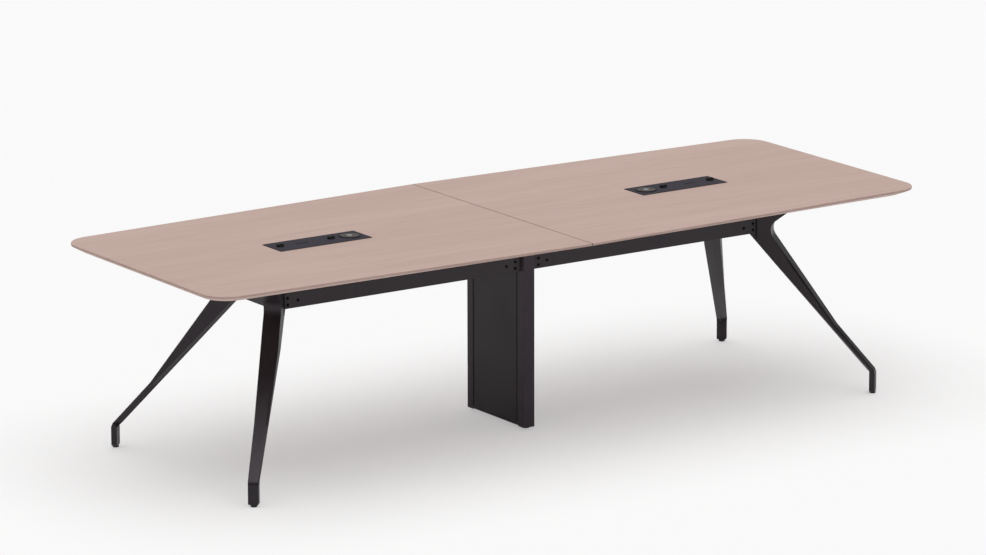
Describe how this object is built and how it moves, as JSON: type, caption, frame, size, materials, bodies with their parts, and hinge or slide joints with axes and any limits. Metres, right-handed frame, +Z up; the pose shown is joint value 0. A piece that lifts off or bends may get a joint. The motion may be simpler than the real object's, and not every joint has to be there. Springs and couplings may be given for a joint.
{
  "type": "conference table",
  "caption": "Long boat-shaped wooden conference table on splayed black legs, with a flat cable column in the middle and power plates set into the top.",
  "frame": {"origin": "on the floor, under the middle of the table", "axes": "+X along the length of the table, +Z up, -Y towards the near long side of the picture"},
  "size_m": [3, 1.142, 0.7709],
  "materials": {
    "oak_top": "pale greige oak veneer, satin",
    "beech_dowel": "plain",
    "black_casting": "black powder coat on a die casting",
    "black_steel": "black powder coat",
    "black_sheet": "black powder coat on sheet",
    "black_bolts": "black oxide",
    "zinc_steel": "zinc plated",
    "nylon": "moulded",
    "graphite_plate": "anodised, satin",
    "black_plastic": "moulded"
  },
  "bodies": {
    "table": {"top_right": "oak_top", "crossbeam_right": "black_steel", "head_screw_right_a": "zinc_steel", "head_screw_right_b": "zinc_steel", "power_plate_right": "graphite_plate", "power_tub_right": "black_sheet", "power_inlet_right": "black_plastic", "charging_disc_right": "black_plastic", "port_block_right": "black_plastic", "top_left": "oak_top", "crossbeam_left": "black_steel", "head_screw_left_a": "zinc_steel", "head_screw_left_b": "zinc_steel", "power_plate_left": "graphite_plate", "power_tub_left": "black_sheet", "power_inlet_left": "black_plastic", "charging_disc_left": "black_plastic", "port_block_left": "black_plastic", "leg_right_near": "black_casting", "beam_right_near": "black_steel", "leg_bolts_right_near": "black_bolts", "column_bolts_right_near": "black_bolts", "top_screw_right_near": "zinc_steel", "leg_right_far": "black_casting", "beam_right_far": "black_steel", "leg_bolts_right_far": "black_bolts", "column_bolts_right_far": "black_bolts", "top_screw_right_far": "zinc_steel", "leg_left_near": "black_casting", "beam_left_near": "black_steel", "leg_bolts_left_near": "black_bolts", "column_bolts_left_near": "black_bolts", "top_screw_left_near": "zinc_steel", "leg_left_far": "black_casting", "beam_left_far": "black_steel", "leg_bolts_left_far": "black_bolts", "column_bolts_left_far": "black_bolts", "top_screw_left_far": "zinc_steel", "column_post_near": "black_steel", "seam_dowel_near": "beech_dowel", "column_post_far": "black_steel", "seam_dowel_far": "beech_dowel", "column_base": "black_steel", "column_head": "black_steel"},
    "glide_right_near": {"glide_pad_right_near": "nylon", "glide_stud_right_near": "zinc_steel"},
    "glide_right_far": {"glide_pad_right_far": "nylon", "glide_stud_right_far": "zinc_steel"},
    "glide_left_near": {"glide_pad_left_near": "nylon", "glide_stud_left_near": "zinc_steel"},
    "glide_left_far": {"glide_pad_left_far": "nylon", "glide_stud_left_far": "zinc_steel"},
    "column_foot_near": {"column_foot_near": "black_bolts"},
    "column_foot_far": {"column_foot_far": "black_bolts"},
    "cover_right": {"column_cover_right": "black_sheet"},
    "cover_left": {"column_cover_left": "black_sheet"},
    "knob_right_outer": {"lock_knob_right_outer": "black_plastic"},
    "knob_right_inner": {"lock_knob_right_inner": "black_plastic"},
    "knob_left_outer": {"lock_knob_left_outer": "black_plastic"},
    "knob_left_inner": {"lock_knob_left_inner": "black_plastic"}
  },
  "joints": [
    {"name": "glide_right_near_level", "type": "slide", "parent": "table", "child": "glide_right_near", "axis": [0, 0, -1], "range_m": [0, 0.01]},
    {"name": "glide_right_far_level", "type": "slide", "parent": "table", "child": "glide_right_far", "axis": [0, 0, -1], "range_m": [0, 0.01]},
    {"name": "glide_left_near_level", "type": "slide", "parent": "table", "child": "glide_left_near", "axis": [0, 0, -1], "range_m": [0, 0.01]},
    {"name": "glide_left_far_level", "type": "slide", "parent": "table", "child": "glide_left_far", "axis": [0, 0, -1], "range_m": [0, 0.01]},
    {"name": "column_foot_near_level", "type": "slide", "parent": "table", "child": "column_foot_near", "axis": [0, 0, -1], "range_m": [0, 0.0055]},
    {"name": "column_foot_far_level", "type": "slide", "parent": "table", "child": "column_foot_far", "axis": [0, 0, -1], "range_m": [0, 0.0055]},
    {"name": "cover_right_lift", "type": "slide", "parent": "table", "child": "cover_right", "axis": [0, 0, 1], "range_m": [0, 0.012]},
    {"name": "cover_left_lift", "type": "slide", "parent": "table", "child": "cover_left", "axis": [0, 0, 1], "range_m": [0, 0.012]},
    {"name": "knob_right_outer_turn", "type": "hinge", "parent": "table", "child": "knob_right_outer", "pos_m": [0.9237, 0, 0.766], "axis": [0, 0, 1], "range_deg": [0, 90]},
    {"name": "knob_right_inner_turn", "type": "hinge", "parent": "table", "child": "knob_right_inner", "pos_m": [0.7147, 0, 0.766], "axis": [0, 0, 1], "range_deg": [0, 90]},
    {"name": "knob_left_outer_turn", "type": "hinge", "parent": "table", "child": "knob_left_outer", "pos_m": [-0.9237, 0, 0.766], "axis": [0, 0, 1], "range_deg": [0, 90]},
    {"name": "knob_left_inner_turn", "type": "hinge", "parent": "table", "child": "knob_left_inner", "pos_m": [-0.7147, 0, 0.766], "axis": [0, 0, 1], "range_deg": [0, 90]}
  ]
}
